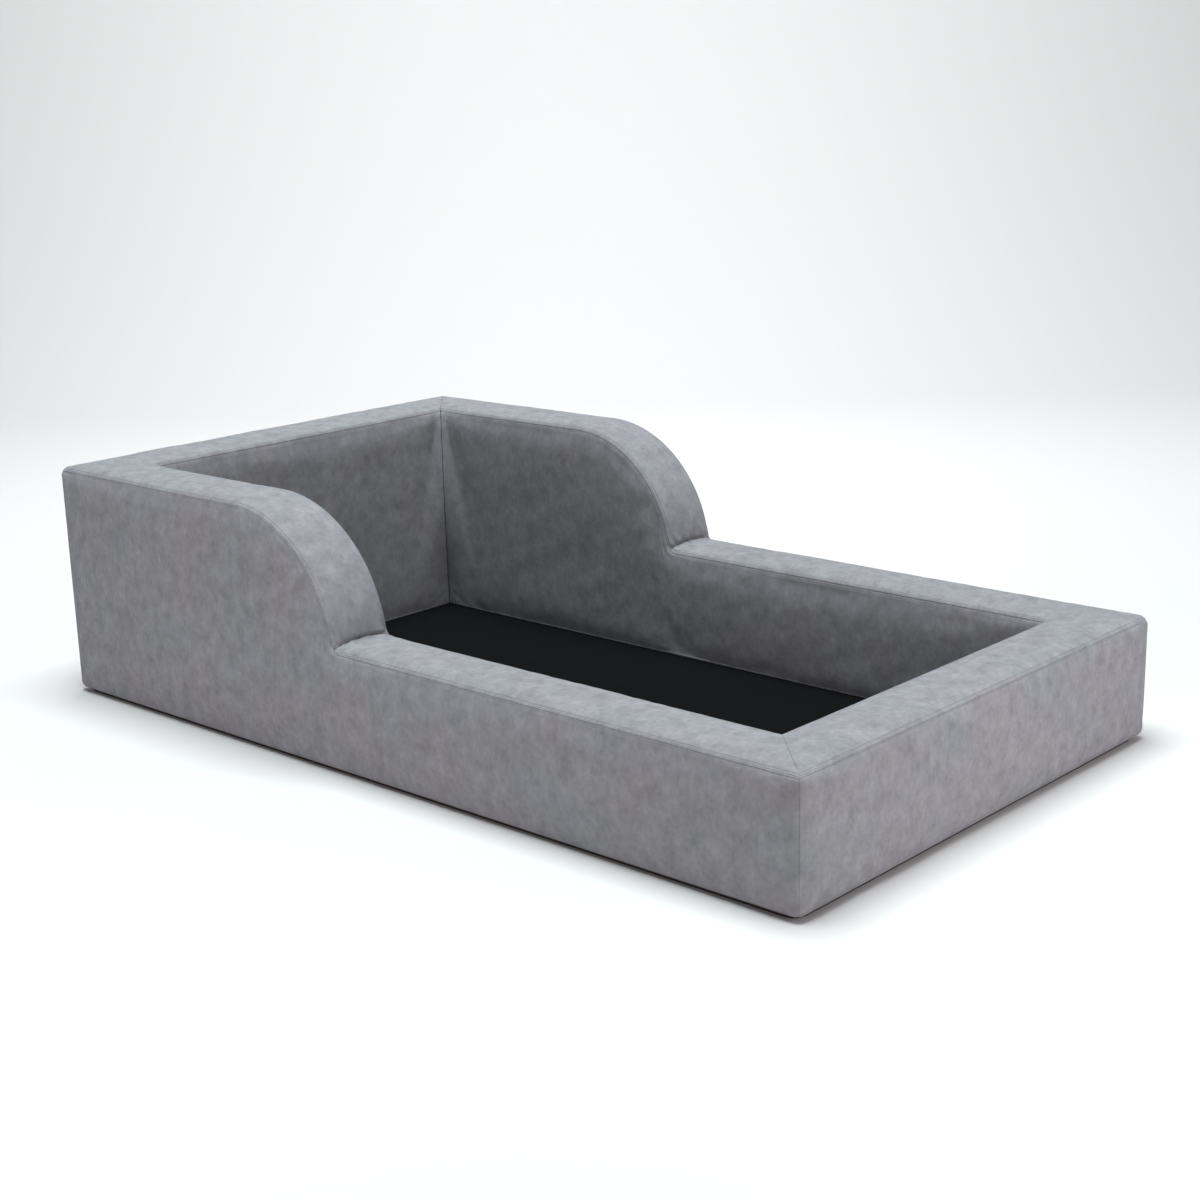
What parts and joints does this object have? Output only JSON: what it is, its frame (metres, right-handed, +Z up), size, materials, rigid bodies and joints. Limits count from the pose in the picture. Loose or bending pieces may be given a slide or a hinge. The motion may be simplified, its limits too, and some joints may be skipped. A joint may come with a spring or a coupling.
{
  "type": "upholstered floor bed frame",
  "caption": "Low fabric-covered foam bed frame with a tall head end, arms that sweep down in an arc to a low rim, and a well for a mattress.",
  "frame": {"origin": "on the floor, at the centre of the frame's rectangle", "axes": "+X to the right seen from the foot end, +Y towards the head end, +Z up"},
  "size_m": [0.95, 1.65, 0.42],
  "materials": {
    "cover": "mottled grey microfibre with a short brushed nap",
    "black_cloth": "black spunbond cloth, matt",
    "foam": null,
    "hardboard": "smooth brown hardboard",
    "zip_tape": "black woven polyester tape",
    "zip_coil": "black nylon coil",
    "zip_metal": "black painted zinc"
  },
  "bodies": {
    "bed": {"foam_core_head": "foam", "foam_core_foot": "foam", "foam_core_left": "foam", "foam_core_right": "foam", "outer_panel_head": "cover", "outer_panel_foot": "cover", "outer_panel_left": "cover", "outer_panel_right": "cover", "inner_panel_head": "cover", "inner_panel_foot": "cover", "inner_panel_left": "cover", "inner_panel_right": "cover", "top_band_head": "cover", "top_band_foot": "cover", "arm_band_left": "cover", "arm_band_right": "cover", "rim_band_left": "cover", "rim_band_right": "cover", "under_strip_head": "black_cloth", "under_strip_foot": "black_cloth", "under_strip_left": "black_cloth", "under_strip_right": "black_cloth", "underside_cloth": "black_cloth", "floor_lining": "black_cloth", "base_board_head": "hardboard", "base_board_foot": "hardboard", "zip_tape_upper": "zip_tape", "zip_tape_lower": "zip_tape", "zip_coil_upper": "zip_coil", "zip_coil_lower": "zip_coil", "zip_stop_left": "zip_metal", "zip_stop_right": "zip_metal"},
    "zip_slider": {"zip_slider": "zip_metal"}
  },
  "joints": [
    {"name": "zip_slide", "type": "slide", "parent": "bed", "child": "zip_slider", "axis": [-1, 0, 0], "range_m": [0, 0.69]}
  ]
}
